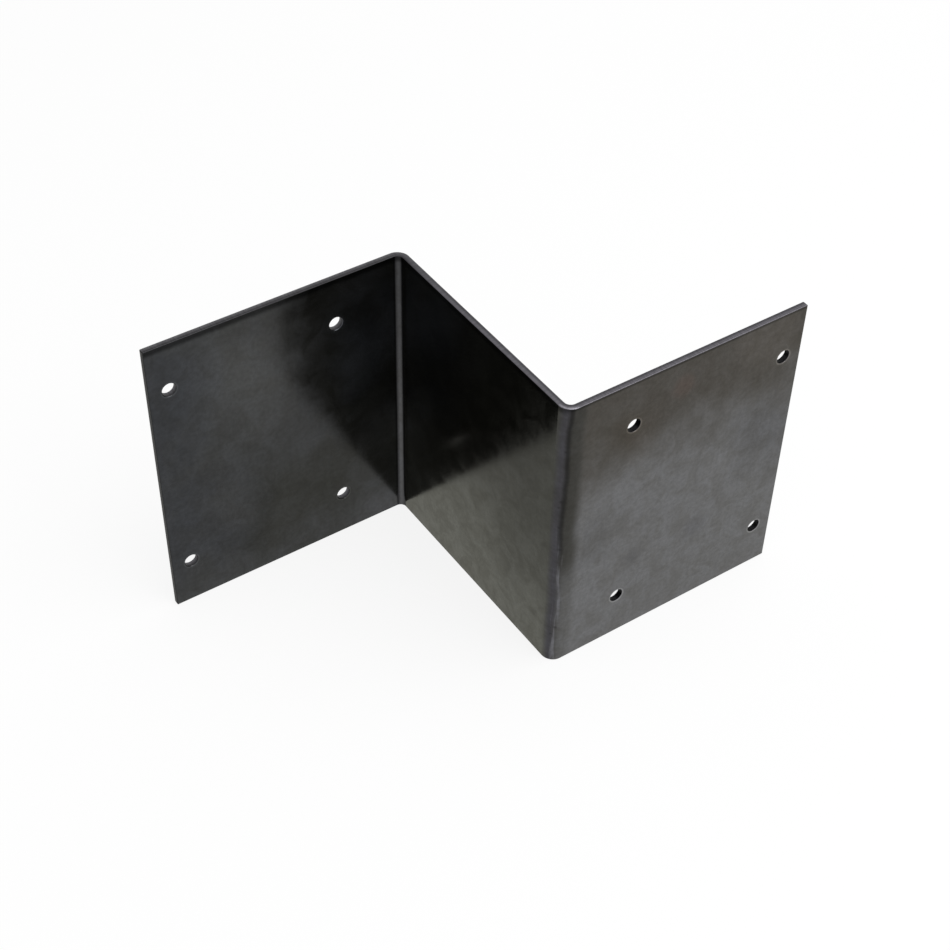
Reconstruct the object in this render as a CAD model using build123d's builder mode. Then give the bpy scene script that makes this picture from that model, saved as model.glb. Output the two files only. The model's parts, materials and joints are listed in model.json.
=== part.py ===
from build123d import *
import os

# Motor bracket: one steel plate folded twice, so that seen from above it is a square-cornered Z.
# It stands on its lower edge. The web joins a rear flange, which runs to -X, to a front flange,
# which runs to +X. Each flange has four bolt holes. Millimetres, +Z up.
# The origin is under the middle of the web, on the surface that the bracket stands on.

# Folded plate
thickness = 3.0
height = 150.0
leg_length = 125.0
overall_depth = 125.0
inside_bend_radius = 3.0

# Bolt holes, the same four in each flange
hole_diameter = 6.6
hole_spacing_along = 80.0
hole_spacing_up = 102.0
hole_to_free_end = 9.5

# Deburred edges
outline_edge_radius = 0.4
hole_edge_chamfer = 0.2

# Worked out from the sizes above
outside_bend_radius = inside_bend_radius + thickness
rear_face_y = overall_depth / 2
front_face_y = -overall_depth / 2
web_left_x = -thickness / 2
free_end_x = leg_length - thickness / 2
pattern_centre_x = free_end_x - hole_to_free_end - hole_spacing_along / 2

# The plate's viewed side runs along the front of the rear flange, the left of the web and the
# front of the front flange. It is on the inside of the first bend and the outside of the second.
viewed_corners = [
    (-free_end_x, rear_face_y - thickness),
    (web_left_x, rear_face_y - thickness),
    (web_left_x, front_face_y),
    (free_end_x, front_face_y),
]
viewed_bend_radii = [inside_bend_radius, outside_bend_radius]

# The outer face of each flange, as seen by someone who looks straight at it
rear_face = Plane(
    origin=(-pattern_centre_x, rear_face_y, height / 2), x_dir=(-1, 0, 0), z_dir=(0, 1, 0)
)
front_face = Plane(
    origin=(pattern_centre_x, front_face_y, height / 2), x_dir=(1, 0, 0), z_dir=(0, -1, 0)
)

with BuildPart() as bracket:
    with BuildLine() as viewed_side:
        FilletPolyline(*viewed_corners, radius=viewed_bend_radii)
    make_brake_formed(thickness=thickness, station_widths=height, side=Side.LEFT)

    # The plate's cut edges: its top, its bottom and its two free ends
    faces_along_x = bracket.faces().sort_by(Axis.X)
    cut_edges = bracket.faces().filter_by(Axis.Z).edges()
    cut_edges += faces_along_x.first.edges() + faces_along_x.last.edges()
    fillet(cut_edges, radius=outline_edge_radius)

    with Locations(rear_face, front_face):
        with GridLocations(hole_spacing_along, hole_spacing_up, 2, 2):
            Hole(radius=hole_diameter / 2, depth=thickness)
    hole_rims = bracket.edges().filter_by(lambda edge: edge.is_closed)
    chamfer(hole_rims, length=hole_edge_chamfer)

bracket.part.label = "bracket"

os.makedirs("parts", exist_ok=True)
export_step(bracket.part, "parts/bracket.step")
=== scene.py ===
import json
import math

import bpy
import numpy as np
from mathutils import Matrix, Vector


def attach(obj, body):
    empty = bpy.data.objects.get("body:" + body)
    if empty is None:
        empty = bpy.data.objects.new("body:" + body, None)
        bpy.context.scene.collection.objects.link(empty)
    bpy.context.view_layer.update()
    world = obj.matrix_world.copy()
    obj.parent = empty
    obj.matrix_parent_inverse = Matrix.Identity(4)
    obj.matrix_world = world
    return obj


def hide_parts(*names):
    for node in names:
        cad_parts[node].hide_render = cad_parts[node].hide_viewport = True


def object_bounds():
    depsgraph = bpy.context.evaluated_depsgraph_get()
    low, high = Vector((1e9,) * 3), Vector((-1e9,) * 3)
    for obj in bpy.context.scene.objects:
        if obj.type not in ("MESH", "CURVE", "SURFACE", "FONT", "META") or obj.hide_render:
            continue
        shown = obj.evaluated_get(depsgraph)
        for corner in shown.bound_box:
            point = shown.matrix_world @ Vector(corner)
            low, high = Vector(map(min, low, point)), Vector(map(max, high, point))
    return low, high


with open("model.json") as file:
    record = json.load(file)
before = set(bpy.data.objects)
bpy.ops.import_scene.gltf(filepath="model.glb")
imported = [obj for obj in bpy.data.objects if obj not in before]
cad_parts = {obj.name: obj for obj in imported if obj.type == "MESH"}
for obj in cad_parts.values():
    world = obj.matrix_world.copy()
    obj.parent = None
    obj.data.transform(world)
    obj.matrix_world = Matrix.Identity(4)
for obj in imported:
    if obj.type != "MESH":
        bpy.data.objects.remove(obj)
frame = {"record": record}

# Motor bracket: one folded steel plate with a dark, semi-gloss mill-scale surface, standing on
# its lower edge on a white studio floor. The scene's lengths are metres, in the frame's own axes.
# The plate is laid out in millimetres on its flat pattern, and folded by fold().

CAD_LOW, CAD_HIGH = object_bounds()
MM = 0.001

# Plate
THICKNESS = 3.0
HALF_THICKNESS = THICKNESS / 2
BEND_RADIUS = 3.0
EDGE_RADIUS = 0.4
RIM_CHAMFER = 0.2
HEIGHT = CAD_HIGH.z / MM
FREE_END = CAD_HIGH.x / MM
DEPTH = (CAD_HIGH.y - CAD_LOW.y) / MM

# Bolt holes, from the mount that names their pattern
BOLTS = next(m for m in frame["record"]["mounts"] if m["name"] == "front_flange_holes")
HOLE_RADIUS = BOLTS["dims"]["hole_r_mm"]
HOLES_ALONG = BOLTS["dims"]["spacing_x_mm"]
HOLES_UP = BOLTS["dims"]["spacing_y_mm"]
HOLES_CENTRE = BOLTS["pos_m"][0] / MM

# Flat pattern, along the plate's middle surface from the rear flange's free end
MID_RADIUS = BEND_RADIUS + HALF_THICKNESS
BEND_ARC = MID_RADIUS * math.pi / 2
FLANGE_FLAT = FREE_END - MID_RADIUS
WEB_FLAT = DEPTH - THICKNESS - 2 * MID_RADIUS
BEND_1 = (FLANGE_FLAT, FLANGE_FLAT + BEND_ARC)
BEND_2 = (BEND_1[1] + WEB_FLAT, BEND_1[1] + WEB_FLAT + BEND_ARC)
PLATE_LENGTH = BEND_2[1] + FLANGE_FLAT

# Mesh
FLAT_STEP = 3.0          # about how far apart even grid lines are
BEND_STEPS = 24
EDGE_STEPS = 4
HOLE_PATCH = 7.0         # half the side of the square that holds a hole's rings
PATCH_STEPS = 12         # along each side of that square
PATCH_RINGS = (0.0, 0.22, 0.52, 1.0)     # from the hole's rim to the square
GRID_SLACK = 0.01        # a grid line this near to a square's side is on it
SHARP_ANGLE = math.radians(30)
MAP_MARGIN = 4.0         # round each side of the sheet on its map

# Camera, as the photograph was taken: it looks down on the bracket from the rear flange's side
CAMERA_AZIMUTH = math.radians(-35.12)
CAMERA_ELEVATION = math.radians(43.72)
CAMERA_ROLL = math.radians(1.46)
CAMERA_DISTANCE = 783.2 * MM
CAMERA_TARGET = Vector((-6.08, -7.71, 75.18)) * MM
SENSOR_WIDTH = 36.0
LENS_LENGTH = 68.24

# Studio
WHITE = (1.0, 1.0, 1.0, 1.0)
FLOOR_SIZE = 8.0
FLOOR_COLOUR = (0.92, 0.92, 0.92, 1.0)
FLOOR_ROUGHNESS = 0.9
FLOOR_SPECULAR = 0.1
FLOOR_GLOW = 0.85            # the share of plain white in what is seen of the floor round the bracket
SHADOW_REACH = (0.4, 2.0)    # the floor turns to plain white between these distances
AMBIENT_STRENGTH = 0.5
LAMP_PLACE = Vector((0.5, -0.6, 1.8))
LAMP_TARGET = Vector((0, 0, 0.05))
LAMP_SIZE = 2.0
LAMP_POWER = 33.0

# A fade below is where it starts and where it ends, then its values there unless they are 0 and 1.
# A strip is its two ends, then how soft its borders are.

# Mill scale, as the share of light that it mirrors straight on. The front flange's tones are lighter
# than the rear flange's as painted light, for the light that falls on the front flange and not on the
# rear one.
REAR_SCALE = (0.050, 0.051, 0.051, 1.0)
WEB_BRIGHT = (0.108, 0.108, 0.093, 1.0)
WEB_SHADE = (0.044, 0.044, 0.038, 1.0)
FRONT_BROWN = (0.070, 0.065, 0.058, 1.0)
FRONT_GREY_AND_SHEEN = (0.131, 0.131, 0.133, 1.0)
SCALE_ROUGHNESS = (0.15, 0.22)
GRAZING_TINT = (0.72, 0.72, 0.70, 1.0)     # at a glancing angle it mirrors less than clean metal

# The web darkens upwards and towards the front flange, painted shade that deepens its dark reflection of
# the rear flange, and the front flange turns brown upwards, its lighter grey lower part a painted sheen
ZONE_DRIFT = 56.0        # how far clouds move these changes up and down
WEB_LEAN = 0.45          # how much of the web's change is along it
WEB_FADE = (70.0, 200.0)
FRONT_FADE = (84.0, 132.0)

# Patterns in the scale: the size of their lumps along, up and through the stretched sheet
STRETCH = (1, 1, 20)     # the front and the back are so far apart in a pattern that their marks differ
CLOUD_LUMPS = (34, 34, 34)
MOTTLE_LUMPS = (11, 12, 11)
SPECK_LUMPS = (2.0, 2.0, 2.0)
STREAK_LUMPS = (1.8, 50, 10)
GRAIN_LUMPS = (1.1, 1.1, 1.1)
WANDER_LUMPS = (60, 22, 20)
THREAD_LUMPS = (1.0, 24, 10)
SHEAR_LUMPS = (0.7, 0.7, 6.0)     # on the sheet as it is

# How strongly the patterns show
PATTERN_SPAN = (0.30, 0.70)       # a pattern's values seldom lie outside these
TINT_SPAN = (0.35, 0.65)
MOTTLE_WARM = (1.008, 1.0, 0.98, 1)
MOTTLE_COOL = (0.994, 1.0, 1.015, 1)
MOTTLE_CONTRAST = 0.12
WEB_CONTRAST = 0.10               # added to the mottle's on the web
WEB_STRIP = ((BEND_1[1], BEND_2[0]), 3.0)
SPECK_CONTRAST = 0.09
STREAK_CONTRAST = 0.02
GRAIN_HEIGHT = 0.007

# First bend: painted shade, with a painted highlight along its middle that is weaker higher up
SHADED = (0.016, 0.016, 0.017, 1.0)
SHADED_STRIP = (BEND_1, 0.6)
BEND_HIGHLIGHT = (0.086, 0.086, 0.088, 1.0)
HIGHLIGHT_START = (BEND_1[0] + 0.2, BEND_1[0] + 3.4)
HIGHLIGHT_END = (BEND_1[1] + 0.8, BEND_1[0] + 3.0)
HIGHLIGHT_UP = (20.0, HEIGHT, 1.0, 0.50)

# Second bend: a pressed strip, then a wandering crease, drawn as a line of painted shade, with scuffs,
# then a dull strip
CREASE = BEND_2[0] + 0.62 * BEND_ARC
CREASE_WANDER = 2.0
PRESSED = (0.052, 0.051, 0.056, 1.0)
PRESSED_STRIP = ((BEND_2[0] + 1.0, CREASE), 1.6)
DULL = (0.044, 0.043, 0.039, 1.0)
DULL_START = (CREASE - 0.5, CREASE + 0.5)
DULL_END = (BEND_2[1] + 6.5, BEND_2[1] + 0.5)
DULL_UP = (38.0, 72.0, 0.35, 1.0)
SCUFFED = (0.150, 0.150, 0.162, 1.0)
THREAD_FADE = (0.48, 0.62)
SCUFF_STRIP = ((CREASE - 1.2, CREASE + 0.8), 0.8)
SCUFF_UP = (84.0, 62.0, 0.08, 0.75)
# Painted shade: near black along the crease and in the middles of the dents
DENT_AND_CREASE_SHADE = (0.014, 0.014, 0.014, 1.0)
CREASE_STRIP = ((CREASE - 0.8, CREASE + 0.7), 0.7)
CREASE_UP = (50.0, 80.0, 0.05, 0.75)
DENT_DEPTH = 0.05
DENT_SHADE = 0.5

# Sheared edges: duller on the rear flange, and scaled over at the two free ends
CUT_REAR = (0.100, 0.098, 0.105)
CUT_REAR_FADE = (-1.0, 1.5, 1.0, 0.30)
CUT_FRONT = (0.104, 0.100, 0.111)
CUT_FRONT_FADE = (-0.6, 0.4, 0.62, 1.05)
# A painted glint on the viewed half of the cut edge in the second bend
CUT_GLINT = 0.9          # added to the viewed half of the edge in the second bend
CUT_GLINT_STRIP = (BEND_2, 1.0)
CUT_GLINT_FADE = (0.0, 1.0)
CUT_CHANGE = (BEND_1[0] - 10, BEND_1[1] + 40)
CUT_END = (0.024, 0.024, 0.025, 1.0)
CUT_END_FADE = (0.3, 0.1)
CUT_ROUGHNESS = 0.42
SHEAR_TONES = (0.86, 1.14)

# Holes: lighter rims, partly the drilling burr and partly a painted highlight, and painted shade on the
# walls in the front flange
RIM_HIGHLIGHT_FADE = (HOLE_RADIUS + 1.1, HOLE_RADIUS + 0.3)
RIM_HIGHLIGHT_TONES = (1.5, 1.8)   # before and after the second bend
PAINTED_HOLE_SHADE = (0.014, 0.014, 0.015, 1.0)
HOLE_SHADE_FADE = (HOLE_RADIUS + 1.0, HOLE_RADIUS + 0.5)
HOLE_WALL_END = HALF_THICKNESS - RIM_CHAMFER
HOLE_SHADE_DEPTH = (HOLE_WALL_END + 0.1, HOLE_WALL_END)

# The painted shade below the upper edge, a dark reflection painted into the colour: how far it reaches,
# and its tone
EDGE_SHADE_REAR = (4.2, 0.34)
EDGE_SHADE_FRONT = (1.8, 0.50)
EDGE_SHADE_CORE = 0.35         # the share of its reach that is at its full tone

# Soft clouds of tone: along and up on the flat pattern, radius, and the tone that they multiply by.
# Most are mottling in the scale; those beside the first bend are painted reflection and painted
# shade, as marked below. The pattern of CLOUD_LUMPS pushes their borders in.
CLOUD_PUSH = 1.6         # at most this many radii
CLOUD_BORDER = (1.8, 1.0)     # where a cloud starts and is full, in radii, before that
CLOUDS_AND_PAINTED_REFLECTIONS = [
    (2, 118, 44, (0.82, 0.84, 0.90, 1.0)),
    (2, 46, 52, (0.82, 0.84, 0.90, 1.0)),
    (50, 118, 42, (1.36, 1.36, 1.34, 1.0)),
    (72, 30, 44, (0.78, 0.77, 0.71, 1.0)),
    # Painted reflection: the next four lighten the rear flange beside the first bend, where the web's
    # dark reflection falls
    (104, 112, 36, (1.55, 1.62, 1.95, 1.0)),
    (78, 122, 16, (1.30, 1.30, 1.32, 1.0)),
    (98, 146, 20, (1.45, 1.45, 1.50, 1.0)),
    (118, 58, 22, (1.55, 1.56, 1.66, 1.0)),
    # Painted shade: the next three darken the web, deepening its dark reflection of the rear flange; the
    # third paints over the reflection of a hole in the rear flange
    (150, 116, 48, (0.60, 0.60, 0.62, 1.0)),
    (126, 76, 40, (0.55, 0.55, 0.57, 1.0)),
    (157, 84, 22, (0.60, 0.60, 0.61, 1.0)),
    (112, 6, 22, (1.30, 1.30, 1.34, 1.0)),
    (276, 122, 20, (0.88, 0.84, 0.79, 1.0)),
    (301, 136, 8, (1.10, 0.98, 0.95, 1.0)),
    (345, 138, 26, (1.20, 1.19, 1.19, 1.0)),
    (354, 84, 32, (0.80, 0.80, 0.81, 1.0)),
    (328, 76, 13, (1.08, 1.08, 1.09, 1.0)),
    (316, 45, 11, (0.88, 0.88, 0.90, 1.0)),
    (282, 46, 9, (0.89, 0.89, 0.91, 1.0)),
    (258, 66, 24, (0.88, 0.88, 0.88, 1.0)),
]

# Dents on the second bend, where the plate was handled: along, up and radius
DENTS = [
    (242.6, 99.0, 1.0),
    (241.9, 95.5, 0.8),
    (243.0, 71.0, 1.2),
    (242.4, 84.0, 0.8),
    (243.4, 22.0, 1.2),
    (242.2, 17.5, 0.9),
    (242.8, 127.0, 0.8),
]


def new_tree(material):
    """A material's node tree, emptied."""
    material.use_nodes = True
    material.node_tree.nodes.clear()
    return material.node_tree


def add(tree, kind, inputs=None, **settings):
    """A node with its settings made and each input set to a value or linked from a socket."""
    node = tree.nodes.new(kind)
    for name, value in settings.items():
        setattr(node, name, value)
    for name, value in (inputs or {}).items():
        if isinstance(value, bpy.types.NodeSocket):
            tree.links.new(value, node.inputs[name])
        else:
            node.inputs[name].default_value = value
    return node


def calculate(tree, operation, *values):
    """A Math node's result, from numbers or sockets."""
    return add(tree, "ShaderNodeMath", dict(enumerate(values)), operation=operation).outputs[0]


def product(tree, result, *factors):
    """Numbers or sockets multiplied together."""
    for factor in factors:
        result = calculate(tree, "MULTIPLY", result, factor)
    return result


def between(tree, share, first, second):
    """A number that goes from the first to the second as the share goes from 0 to 1."""
    return add(tree, "ShaderNodeMix", {0: share, 2: first, 3: second}).outputs[0]


def fade(tree, value, start, end, low=0.0, high=1.0):
    """Runs smoothly from low to high as a value goes from start to end."""
    inputs = {"Value": value, "From Min": start, "From Max": end, "To Min": low, "To Max": high}
    return add(tree, "ShaderNodeMapRange", inputs, interpolation_type="SMOOTHSTEP").outputs["Result"]


def strip(tree, along, ends, soft):
    """1 between two places along the sheet, with soft borders."""
    middle, half = (ends[0] + ends[1]) / 2, (ends[1] - ends[0]) / 2
    away = calculate(tree, "ABSOLUTE", calculate(tree, "SUBTRACT", along, middle))
    return fade(tree, away, half + soft, half - soft)


def noise(tree, place, size, detail=2.0, roughness=0.5, distortion=0.0):
    """Noise about 0.5, with lumps of a size in millimetres along each of the place's axes."""
    per_mm = [1 / across for across in size]
    scaled = add(tree, "ShaderNodeVectorMath", {0: place, 1: per_mm}, operation="MULTIPLY")
    inputs = {"Vector": scaled.outputs[0], "Scale": 1.0, "Detail": detail}
    inputs.update({"Roughness": roughness, "Distortion": distortion})
    return add(tree, "ShaderNodeTexNoise", inputs).outputs["Fac"]


def blend(tree, share, first, second, kind="MIX"):
    """A Mix node's colour, from colours or sockets."""
    inputs = {0: share, 6: first, 7: second}
    return add(tree, "ShaderNodeMix", inputs, data_type="RGBA", blend_type=kind).outputs[2]


def shade(tree, colour, factor):
    """A colour times a number."""
    both = {0: colour, "Scale": factor}
    return add(tree, "ShaderNodeVectorMath", both, operation="SCALE").outputs[0]


def length(tree, first, second):
    """The length of a vector with two parts."""
    flat = add(tree, "ShaderNodeCombineXYZ", {0: first, 1: second})
    return add(tree, "ShaderNodeVectorMath", {0: flat.outputs[0]}, operation="LENGTH").outputs["Value"]


def distance(tree, along, up, spot_along, spot_up):
    """How far a place on the sheet is from a spot on it."""
    sideways = calculate(tree, "SUBTRACT", along, spot_along)
    return length(tree, sideways, calculate(tree, "SUBTRACT", up, spot_up))


def seen_directly(tree):
    """1 for the rays that show a surface: from the camera, off gloss or through glass."""
    path = add(tree, "ShaderNodeLightPath").outputs
    seen = calculate(tree, "MAXIMUM", path["Is Camera Ray"], path["Is Glossy Ray"])
    return calculate(tree, "MAXIMUM", seen, path["Is Transmission Ray"])


def make_camera():
    """The camera turns about its target, then rolls about its own line of sight."""
    back = Vector((
        math.sin(CAMERA_AZIMUTH) * math.cos(CAMERA_ELEVATION),
        -math.cos(CAMERA_AZIMUTH) * math.cos(CAMERA_ELEVATION),
        math.sin(CAMERA_ELEVATION),
    ))
    level = back.to_track_quat("Z", "Y").to_matrix()
    data = bpy.data.cameras.new("camera")
    data.sensor_width = SENSOR_WIDTH
    data.lens = LENS_LENGTH
    camera = bpy.data.objects.new("camera", data)
    camera.rotation_mode = "QUATERNION"
    camera.rotation_quaternion = (level @ Matrix.Rotation(CAMERA_ROLL, 3, "Z")).to_quaternion()
    camera.location = CAMERA_TARGET + back * CAMERA_DISTANCE
    bpy.context.scene.collection.objects.link(camera)
    bpy.context.scene.camera = camera


def make_floor():
    """A plain pale floor, seen as mostly pure white so that the bracket's shadow stays light."""
    half = FLOOR_SIZE / 2
    mesh = bpy.data.meshes.new("floor")
    corners = [(-half, -half, 0), (half, -half, 0), (half, half, 0), (-half, half, 0)]
    mesh.from_pydata(corners, [], [(0, 1, 2, 3)])
    floor = bpy.data.objects.new("floor", mesh)
    bpy.context.scene.collection.objects.link(floor)
    material = bpy.data.materials.new("floor_paper")
    tree = new_tree(material)
    paper = add(
        tree, "ShaderNodeBsdfPrincipled",
        {"Base Color": FLOOR_COLOUR, "Roughness": FLOOR_ROUGHNESS, "Specular IOR Level": FLOOR_SPECULAR},
    )
    glow = add(tree, "ShaderNodeEmission", {"Color": WHITE, "Strength": 1.0})
    spot = add(tree, "ShaderNodeTexCoord").outputs["Object"]
    away = add(tree, "ShaderNodeVectorMath", {0: spot}, operation="LENGTH").outputs["Value"]
    white = fade(tree, away, *SHADOW_REACH, FLOOR_GLOW, 1.0)
    share = product(tree, seen_directly(tree), white)
    mix = add(tree, "ShaderNodeMixShader", {0: share, 1: paper.outputs[0], 2: glow.outputs[0]})
    add(tree, "ShaderNodeOutputMaterial", {"Surface": mix.outputs[0]})
    mesh.materials.append(material)


def make_world():
    """White where it is seen, directly, in gloss or through glass, and dimmer as a light."""
    world = bpy.data.worlds.new("studio")
    bpy.context.scene.world = world
    tree = new_tree(world)
    light = add(tree, "ShaderNodeBackground", {"Color": WHITE, "Strength": AMBIENT_STRENGTH})
    backdrop = add(tree, "ShaderNodeBackground", {"Color": WHITE, "Strength": 1.0})
    seen = seen_directly(tree)
    mix = add(tree, "ShaderNodeMixShader", {0: seen, 1: light.outputs[0], 2: backdrop.outputs[0]})
    add(tree, "ShaderNodeOutputWorld", {"Surface": mix.outputs[0]})


def make_lamp():
    """One large, square, soft lamp overhead."""
    data = bpy.data.lights.new("overhead", "AREA")
    data.shape = "SQUARE"
    data.size = LAMP_SIZE
    data.energy = LAMP_POWER
    lamp = bpy.data.objects.new("overhead", data)
    lamp.location = LAMP_PLACE
    lamp.rotation_mode = "QUATERNION"
    lamp.rotation_quaternion = (LAMP_TARGET - LAMP_PLACE).to_track_quat("-Z", "Y")
    bpy.context.scene.collection.objects.link(lamp)


def fold(along, through):
    """Where a point of the flat sheet lies, seen from above, once both bends are made.

    along is measured on the middle surface, and through is positive towards the viewed side.
    """
    back_y = DEPTH / 2 - HALF_THICKNESS
    turn_1 = math.pi / 2 - (along - BEND_1[0]) / MID_RADIUS
    turn_2 = math.pi + (along - BEND_2[0]) / MID_RADIUS
    inner, outer = MID_RADIUS - through, MID_RADIUS + through
    pieces = [along < BEND_1[0], along < BEND_1[1], along < BEND_2[0], along < BEND_2[1]]
    x = np.select(
        pieces,
        [
            along - FREE_END,
            inner * np.cos(turn_1) - MID_RADIUS,
            -through,
            outer * np.cos(turn_2) + MID_RADIUS,
        ],
        along - PLATE_LENGTH + FREE_END,
    )
    y = np.select(
        pieces,
        [
            back_y - through,
            inner * np.sin(turn_1) + back_y - MID_RADIUS,
            back_y - MID_RADIUS - (along - BEND_1[1]),
            outer * np.sin(turn_2) - back_y + MID_RADIUS,
        ],
        -back_y - through,
    )
    return x, y


def hole_centres():
    """The bolt holes on the flat pattern: their four places along it, and their two heights."""
    near = FREE_END - HOLES_CENTRE - HOLES_ALONG / 2
    places = [near, near + HOLES_ALONG, PLATE_LENGTH - near - HOLES_ALONG, PLATE_LENGTH - near]
    heights = [HEIGHT / 2 - HOLES_UP / 2, HEIGHT / 2 + HOLES_UP / 2]
    return places, heights


def even_steps(low, high):
    """How many even steps lead from low to high."""
    return max(1, round((high - low) / FLAT_STEP))


def grid_lines(first, centres, stops):
    """Marks along one side of the grid, and the number of steps between each mark and the next.

    Steps are fine beside each hole's centre. Past the holes, each stop is a mark and the number of
    steps that lead to it, or 0 for even ones.
    """
    marks = [first]
    steps = []
    for centre in centres:
        steps += [even_steps(marks[-1], centre - HOLE_PATCH), PATCH_STEPS]
        marks += [centre - HOLE_PATCH, centre + HOLE_PATCH]
    for stop, count in stops:
        marks.append(stop)
        steps.append(count or even_steps(marks[-2], stop))
    return marks, steps


def divide(marks, steps):
    """Positions from the first mark to the last, with the given number of steps between marks."""
    places = [marks[0]]
    for low, high, count in zip(marks, marks[1:], steps):
        places += [low + (high - low) * (k + 1) / count for k in range(count)]
    return places


def nearest(values, wanted):
    """The index of the value nearest to the wanted one."""
    return min(range(len(values)), key=lambda k: abs(values[k] - wanted))


def in_patch(value, centres):
    """Whether a place along one side of the grid falls inside the square round a hole."""
    return any(abs(value - centre) < HOLE_PATCH - GRID_SLACK for centre in centres)


class Plate:
    """The plate's mesh on its flat pattern: points are (along, through, up), faces keep their own
    map places, and cut is 1 on sheared and drilled surfaces."""

    def __init__(self):
        self.points, self.cut, self.faces, self.maps = [], [], [], []

    def point(self, along, through, up, cut=0.0):
        """Adds a point and returns its number."""
        self.points.append((along, through, up))
        self.cut.append(cut)
        return len(self.points) - 1

    def face(self, corners, places, flip):
        """Adds a face with its map places, turned over if it is on the back."""
        seen, kept = [], []
        for corner, place in zip(corners, places):
            if corner not in seen:
                seen.append(corner)
                kept.append(place)
        if len(seen) > 2:
            self.faces.append(seen[::-1] if flip else seen)
            self.maps.append(kept[::-1] if flip else kept)


def outline_profile():
    """From a broad face round the cut edge to the middle: (outwards, through, distance, cut)."""
    turns = [math.pi / 2 * k / EDGE_STEPS for k in range(EDGE_STEPS + 1)]
    profile = [
        (
            EDGE_RADIUS * math.sin(turn),
            HALF_THICKNESS - EDGE_RADIUS * (1 - math.cos(turn)),
            EDGE_RADIUS * turn,
            min(1.0, turn),
        )
        for turn in turns
    ]
    flat = HALF_THICKNESS - EDGE_RADIUS
    return profile + [(EDGE_RADIUS, 0.0, profile[-1][2] + flat, 1.0)]


def rim_profile():
    """The same for a hole, over its chamfer to the middle of its wall. Outwards is away from the
    hole's axis, so it is below 0 here."""
    slope = RIM_CHAMFER * math.sqrt(2)
    wall = HALF_THICKNESS - RIM_CHAMFER
    return [
        (0.0, HALF_THICKNESS, 0.0, 0.0),
        (-RIM_CHAMFER, wall, slope, 1.0),
        (-RIM_CHAMFER, 0.0, slope + wall, 1.0),
    ]


def wrap_edge(plate, loops, spots, outs, profile):
    """Joins the two broad faces round a closed edge.

    loops holds the edge's points on the viewed side and on the back, spots their flat places, and
    outs their outward directions. A corner repeats its point with several directions. Both sides
    share their last ring, in the middle of the thickness.
    """
    count = len(spots)
    way = -1 if profile[-1][0] < 0 else 1
    middle = None
    for side, loop in zip((1, -1), loops):
        rings = [list(loop)]
        for out, through, _, cut in profile[1:]:
            if through == 0.0 and middle:
                rings.append(middle)
                continue
            rings.append([
                plate.point(a + out * da, side * through, u + out * du, cut)
                for (a, u), (da, du) in zip(spots, outs)
            ])
        middle = rings[-1]
        for k in range(len(profile) - 1):
            near, far = profile[k][2], profile[k + 1][2]
            for i in range(count):
                j = (i + 1) % count
                places = [
                    (spots[n][0] + way * d * outs[n][0], spots[n][1] + way * d * outs[n][1], side)
                    for n, d in ((i, near), (i, far), (j, far), (j, near))
                ]
                corners = [rings[k][i], rings[k + 1][i], rings[k + 1][j], rings[k][j]]
                plate.face(corners, places, side < 0)


def lay_out_plate():
    """The whole plate on its flat pattern: two broad faces, holes, and the edges that join them."""
    plate = Plate()
    places, heights = hole_centres()
    marks, steps = grid_lines(
        EDGE_RADIUS, places[:2],
        [(BEND_1[0], 0), (BEND_1[1], BEND_STEPS), (BEND_2[0], 0), (BEND_2[1], BEND_STEPS)],
    )
    more, more_steps = grid_lines(marks[-1], places[2:], [(PLATE_LENGTH - EDGE_RADIUS, 0)])
    columns = divide(marks + more[1:], steps + more_steps)
    rows = divide(*grid_lines(EDGE_RADIUS, heights, [(HEIGHT - EDGE_RADIUS, 0)]))

    grids = []
    for side in (1, -1):
        grid = {}
        for i, along in enumerate(columns):
            for j, up in enumerate(rows):
                if not (in_patch(along, places) and in_patch(up, heights)):
                    grid[i, j] = plate.point(along, side * HALF_THICKNESS, up)
        grids.append(grid)
        for i in range(len(columns) - 1):
            for j in range(len(rows) - 1):
                middle = ((columns[i] + columns[i + 1]) / 2, (rows[j] + rows[j + 1]) / 2)
                if in_patch(middle[0], places) and in_patch(middle[1], heights):
                    continue
                spots = [(i, j), (i + 1, j), (i + 1, j + 1), (i, j + 1)]
                flat = [(columns[a], rows[b], side) for a, b in spots]
                plate.face([grid[s] for s in spots], flat, side < 0)

    for along in places:
        for up in heights:
            lay_out_hole(plate, grids, columns, rows, along, up)
    lay_out_outline(plate, grids, columns, rows)
    return plate


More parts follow.
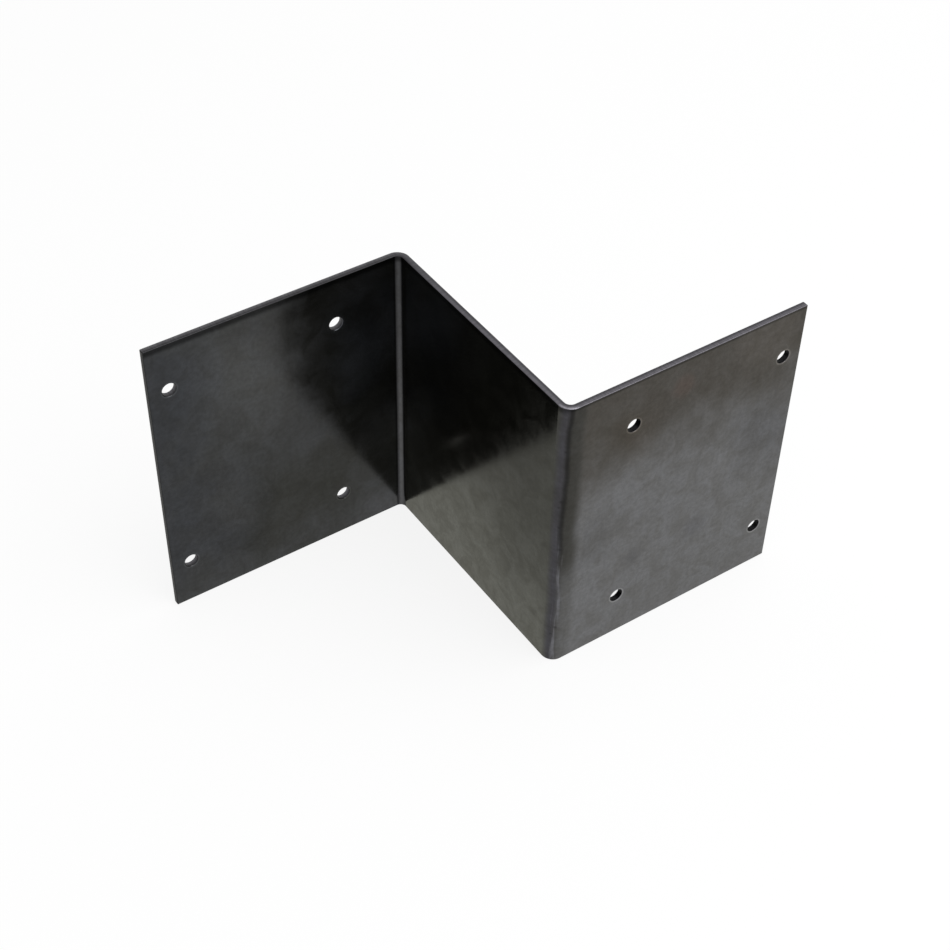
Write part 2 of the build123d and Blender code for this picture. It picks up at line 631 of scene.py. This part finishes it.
def lay_out_hole(plate, grids, columns, rows, along, up):
    """Rings from the square gap in the grid to the hole's rim, and the hole's wall."""
    left, bottom = nearest(columns, along - HOLE_PATCH), nearest(rows, up - HOLE_PATCH)
    n = PATCH_STEPS
    square = [(left + k, bottom) for k in range(n)]
    square += [(left + n, bottom + k) for k in range(n)]
    square += [(left + n - k, bottom + n) for k in range(n)]
    square += [(left, bottom + n - k) for k in range(n)]
    count = len(square)
    rim = HOLE_RADIUS + RIM_CHAMFER
    # The rim starts towards the square's lower left corner, as the square does
    turns = [math.pi * 5 / 4 + 2 * math.pi * k / count for k in range(count)]
    outs = [(math.cos(turn), math.sin(turn)) for turn in turns]
    edge = [(along + rim * c, up + rim * s) for c, s in outs]
    loops = []
    for side, grid in zip((1, -1), grids):
        rings, spots = [], []
        for share in PATCH_RINGS:
            spot = [
                (a + (columns[i] - a) * share, u + (rows[j] - u) * share)
                for (a, u), (i, j) in zip(edge, square)
            ]
            spots.append(spot)
            if share == 1.0:
                rings.append([grid[key] for key in square])
            else:
                rings.append([plate.point(a, side * HALF_THICKNESS, u) for a, u in spot])
        for inner, outer, inner_spots, outer_spots in zip(rings, rings[1:], spots, spots[1:]):
            for i in range(count):
                j = (i + 1) % count
                flat = [inner_spots[i], outer_spots[i], outer_spots[j], inner_spots[j]]
                corners = [inner[i], outer[i], outer[j], inner[j]]
                plate.face(corners, [(a, u, side) for a, u in flat], side < 0)
        loops.append(rings[0])
    # The wall runs the other way round, because its outside is the hole
    wrap_edge(plate, [loop[::-1] for loop in loops], edge[::-1], outs[::-1], rim_profile())


def lay_out_outline(plate, grids, columns, rows):
    """The rounded cut edge all the way round the plate, with a small quarter turn at its corners."""
    right, top = len(columns) - 1, len(rows) - 1
    sides = [
        ([(i, 0) for i in range(right)], (0, -1)),
        ([(right, j) for j in range(top)], (1, 0)),
        ([(right - i, top) for i in range(right)], (0, 1)),
        ([(0, top - j) for j in range(top)], (-1, 0)),
    ]
    keys, outs = [], []
    for index, (line, out) in enumerate(sides):
        before = sides[index - 1][1]
        for k in range(EDGE_STEPS + 1):
            turn = math.pi / 2 * k / EDGE_STEPS
            keys.append(line[0])
            outs.append((
                before[0] * math.cos(turn) + out[0] * math.sin(turn),
                before[1] * math.cos(turn) + out[1] * math.sin(turn),
            ))
        keys += line[1:]
        outs += [out] * (len(line) - 1)
    spots = [(columns[i], rows[j]) for i, j in keys]
    loops = [[grid[key] for key in keys] for grid in grids]
    wrap_edge(plate, loops, spots, outs, outline_profile())


def make_bracket():
    """The folded plate: the flat pattern's mesh, bent twice, with its map and sheet places kept."""
    plate = lay_out_plate()
    along, through, up = (np.array(column) for column in zip(*plate.points))
    x, y = fold(along, through)
    mesh = bpy.data.meshes.new("bracket_plate")
    places = np.column_stack([x, y, up]) * MM
    mesh.from_pydata(places.tolist(), [], plate.faces)

    sheet = mesh.attributes.new("sheet", "FLOAT_VECTOR", "POINT")
    sheet.data.foreach_set("vector", np.column_stack([along, up, through]).ravel())
    cut = mesh.attributes.new("cut", "FLOAT", "POINT")
    cut.data.foreach_set("value", np.array(plate.cut))

    # The map shows the sheet's viewed side below and its back above
    scale = 1 / (PLATE_LENGTH + 2 * MAP_MARGIN)
    raised = HEIGHT + 2 * MAP_MARGIN
    layer = mesh.uv_layers.new(name="OFBake")
    flat = [
        ((a + MAP_MARGIN) * scale, (u + MAP_MARGIN + (raised if side < 0 else 0)) * scale)
        for face in plate.maps
        for a, u, side in face
    ]
    layer.data.foreach_set("uv", np.array(flat).ravel())

    mesh.validate()
    mesh.shade_smooth()
    mesh.set_sharp_from_angle(angle=SHARP_ANGLE)
    bracket = bpy.data.objects.new("bracket_plate", mesh)
    bpy.context.scene.collection.objects.link(bracket)
    flats = bracket.modifiers.new("flat_faces", "WEIGHTED_NORMAL")
    flats.keep_sharp = True
    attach(bracket, "root")
    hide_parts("bracket")
    return bracket


def hole_distance(tree, along, up):
    """How far a place on the sheet is from the middle of the nearest bolt hole."""
    first = hole_centres()[0][0]
    from_end = calculate(tree, "MINIMUM", along, calculate(tree, "SUBTRACT", PLATE_LENGTH, along))
    from_middle = calculate(tree, "SUBTRACT", from_end, first + HOLES_ALONG / 2)
    sideways = calculate(tree, "SUBTRACT", calculate(tree, "ABSOLUTE", from_middle), HOLES_ALONG / 2)
    from_level = calculate(tree, "SUBTRACT", up, HEIGHT / 2)
    upwards = calculate(tree, "SUBTRACT", calculate(tree, "ABSOLUTE", from_level), HOLES_UP / 2)
    return length(tree, sideways, upwards)


def scale_zones(tree, along, up, clouds):
    """The mill scale's colour on the rear flange, the web and the front flange, with painted light and
    shade: the web darker higher up, the front flange lighter lower down and lighter than the rear
    flange.
    """
    drift = calculate(tree, "MULTIPLY_ADD", clouds, ZONE_DRIFT, -ZONE_DRIFT / 2)
    level = calculate(tree, "ADD", up, drift)
    climb = calculate(tree, "MULTIPLY_ADD", along, WEB_LEAN, level)
    web = blend(tree, fade(tree, climb, *WEB_FADE), WEB_BRIGHT, WEB_SHADE)
    front = blend(tree, fade(tree, level, *FRONT_FADE), FRONT_GREY_AND_SHEEN, FRONT_BROWN)
    rear_and_web = blend(tree, fade(tree, along, *BEND_1), REAR_SCALE, web)
    return blend(tree, fade(tree, along, *BEND_2), rear_and_web, front)


def add_clouds_and_painted_reflections(tree, colour, along, up, clouds):
    """Multiplies soft, irregular clouds into the colour: mottling of the scale, and painted reflection
    and painted shade beside the first bend.
    """
    for cloud_along, cloud_up, radius, tint in CLOUDS_AND_PAINTED_REFLECTIONS:
        away = distance(tree, along, up, cloud_along, cloud_up)
        away = calculate(tree, "MULTIPLY_ADD", clouds, radius * CLOUD_PUSH, away)
        share = fade(tree, away, radius * CLOUD_BORDER[0], radius * CLOUD_BORDER[1])
        colour = blend(tree, share, colour, tint, "MULTIPLY")
    return colour


def add_bends(tree, colour, along, up, place):
    """The pressed bends: painted shade and a painted highlight on the first; on the second, a pressed
    strip, a dull strip, scuffs, and a crease drawn as a line of painted shade.
    """
    colour = blend(tree, strip(tree, along, *SHADED_STRIP), colour, SHADED)
    highlight = product(
        tree,
        fade(tree, along, *HIGHLIGHT_START),
        fade(tree, along, *HIGHLIGHT_END),
        fade(tree, up, *HIGHLIGHT_UP),
    )
    colour = blend(tree, highlight, colour, BEND_HIGHLIGHT)

    wander = noise(tree, place, WANDER_LUMPS)
    strayed = calculate(tree, "MULTIPLY_ADD", wander, CREASE_WANDER, along)
    strayed = calculate(tree, "SUBTRACT", strayed, CREASE_WANDER / 2)
    colour = blend(tree, strip(tree, strayed, *PRESSED_STRIP), colour, PRESSED)
    dull = product(
        tree, fade(tree, strayed, *DULL_START), fade(tree, strayed, *DULL_END), fade(tree, up, *DULL_UP)
    )
    colour = blend(tree, dull, colour, DULL)

    threads = fade(tree, noise(tree, place, THREAD_LUMPS, detail=3.0), *THREAD_FADE)
    scuffs = product(tree, threads, strip(tree, strayed, *SCUFF_STRIP), fade(tree, up, *SCUFF_UP))
    colour = blend(tree, scuffs, colour, SCUFFED)
    # The crease is a line of painted shade
    crease = product(tree, strip(tree, strayed, *CREASE_STRIP), fade(tree, up, *CREASE_UP))
    return blend(tree, crease, colour, DENT_AND_CREASE_SHADE)


def dents(tree, along, up):
    """1 in the middle of each small dent on the second bend, and 0 outside them."""
    total = 0.0
    for dent_along, dent_up, radius in DENTS:
        away = distance(tree, along, up, dent_along, dent_up)
        total = calculate(tree, "MAXIMUM", total, fade(tree, away, radius, 0.0))
    return total


def cut_colour(tree, along, through, from_hole):
    """Bare sheared steel, its tone changing across the thickness, with a painted glint in the second
    bend, painted shade on the front flange's hole walls, and scale over the free ends.
    """
    rear = shade(tree, CUT_REAR, fade(tree, through, *CUT_REAR_FADE))
    bright = fade(tree, through, *CUT_FRONT_FADE)
    # A painted glint on the viewed half of the cut edge in the second bend
    glint = product(tree, strip(tree, along, *CUT_GLINT_STRIP), fade(tree, through, *CUT_GLINT_FADE))
    front = shade(tree, CUT_FRONT, calculate(tree, "MULTIPLY_ADD", glint, CUT_GLINT, bright))
    colour = blend(tree, fade(tree, along, *CUT_CHANGE), rear, front)
    depth = calculate(tree, "ABSOLUTE", through)
    # Painted shade on the walls of the front flange's holes
    in_wall = product(
        tree,
        fade(tree, from_hole, *HOLE_SHADE_FADE),
        fade(tree, along, *BEND_2),
        fade(tree, depth, *HOLE_SHADE_DEPTH),
    )
    colour = blend(tree, in_wall, colour, PAINTED_HOLE_SHADE)
    from_end = calculate(tree, "MINIMUM", along, calculate(tree, "SUBTRACT", PLATE_LENGTH, along))
    return blend(tree, fade(tree, from_end, *CUT_END_FADE), colour, CUT_END)


def painted_edge_shade(tree, along, up):
    """The tone of the painted shade below the upper edge: a dark reflection painted into the colour."""
    down = calculate(tree, "SUBTRACT", HEIGHT, up)
    rear, front = [
        fade(tree, down, reach * EDGE_SHADE_CORE, reach, tone, 1.0)
        for reach, tone in (EDGE_SHADE_REAR, EDGE_SHADE_FRONT)
    ]
    return between(tree, fade(tree, along, *BEND_2), rear, front)


def steel_material():
    """Dark, semi-gloss mill scale: it mirrors the floor softly, with brown and blue clouds, and painted
    light and shade in its colour.
    """
    material = bpy.data.materials.new("mill_scale_steel")
    tree = new_tree(material)
    sheet = add(tree, "ShaderNodeAttribute", attribute_name="sheet").outputs["Vector"]
    cut = add(tree, "ShaderNodeAttribute", attribute_name="cut").outputs["Fac"]
    along, up, through = add(tree, "ShaderNodeSeparateXYZ", {0: sheet}).outputs
    place = add(tree, "ShaderNodeVectorMath", {0: sheet, 1: STRETCH}, operation="MULTIPLY").outputs[0]
    clouds = noise(tree, place, CLOUD_LUMPS, detail=3.0)
    mottle = noise(tree, place, MOTTLE_LUMPS, detail=5.0, roughness=0.6, distortion=0.8)
    specks = noise(tree, place, SPECK_LUMPS, detail=3.0, roughness=0.65)
    streaks = noise(tree, place, STREAK_LUMPS)
    grain = noise(tree, place, GRAIN_LUMPS)

    colour = scale_zones(tree, along, up, clouds)
    colour = add_clouds_and_painted_reflections(tree, colour, along, up, clouds)
    colour = add_bends(tree, colour, along, up, place)
    tint = blend(tree, fade(tree, mottle, *TINT_SPAN), MOTTLE_WARM, MOTTLE_COOL)
    colour = blend(tree, 1.0, colour, tint, "MULTIPLY")
    on_web = strip(tree, along, *WEB_STRIP)
    mottling = calculate(tree, "MULTIPLY_ADD", on_web, WEB_CONTRAST, MOTTLE_CONTRAST)
    for pattern, contrast in ((mottle, mottling), (specks, SPECK_CONTRAST), (streaks, STREAK_CONTRAST)):
        swing = fade(tree, pattern, *PATTERN_SPAN, -1.0, 1.0)
        colour = shade(tree, colour, calculate(tree, "MULTIPLY_ADD", swing, contrast, 1.0))
    # Painted shade below the upper edge
    colour = shade(tree, colour, painted_edge_shade(tree, along, up))
    dented = dents(tree, along, up)
    # Painted shade in the middles of the dents
    colour = blend(tree, product(tree, dented, DENT_SHADE), colour, DENT_AND_CREASE_SHADE)
    from_hole = hole_distance(tree, along, up)
    # Lighter rims round the holes: partly the drilling burr, partly a painted highlight
    rim_highlight = fade(tree, along, *BEND_2, *RIM_HIGHLIGHT_TONES)
    colour = shade(tree, colour, fade(tree, from_hole, *RIM_HIGHLIGHT_FADE, 1.0, rim_highlight))

    shear = noise(tree, sheet, SHEAR_LUMPS)
    bare = cut_colour(tree, along, through, from_hole)
    bare = shade(tree, bare, fade(tree, shear, *PATTERN_SPAN, *SHEAR_TONES))
    colour = blend(tree, cut, colour, bare)

    height = product(tree, grain, GRAIN_HEIGHT)
    height = calculate(tree, "MULTIPLY_ADD", dented, -DENT_DEPTH, height)
    bump = add(tree, "ShaderNodeBump", {"Strength": 1.0, "Distance": MM, "Height": height})
    rough = fade(tree, mottle, *PATTERN_SPAN, *SCALE_ROUGHNESS)
    shader = add(
        tree, "ShaderNodeBsdfPrincipled",
        {
            "Base Color": colour,
            "Metallic": 1.0,
            "Roughness": between(tree, cut, rough, CUT_ROUGHNESS),
            "Specular Tint": GRAZING_TINT,
            "Normal": bump.outputs[0],
        },
    )
    add(tree, "ShaderNodeOutputMaterial", {"Surface": shader.outputs[0]})
    return material


bpy.context.scene.view_settings.view_transform = "Standard"
make_camera()
make_floor()
make_world()
make_lamp()

bracket = make_bracket()
bracket.data.materials.append(steel_material())
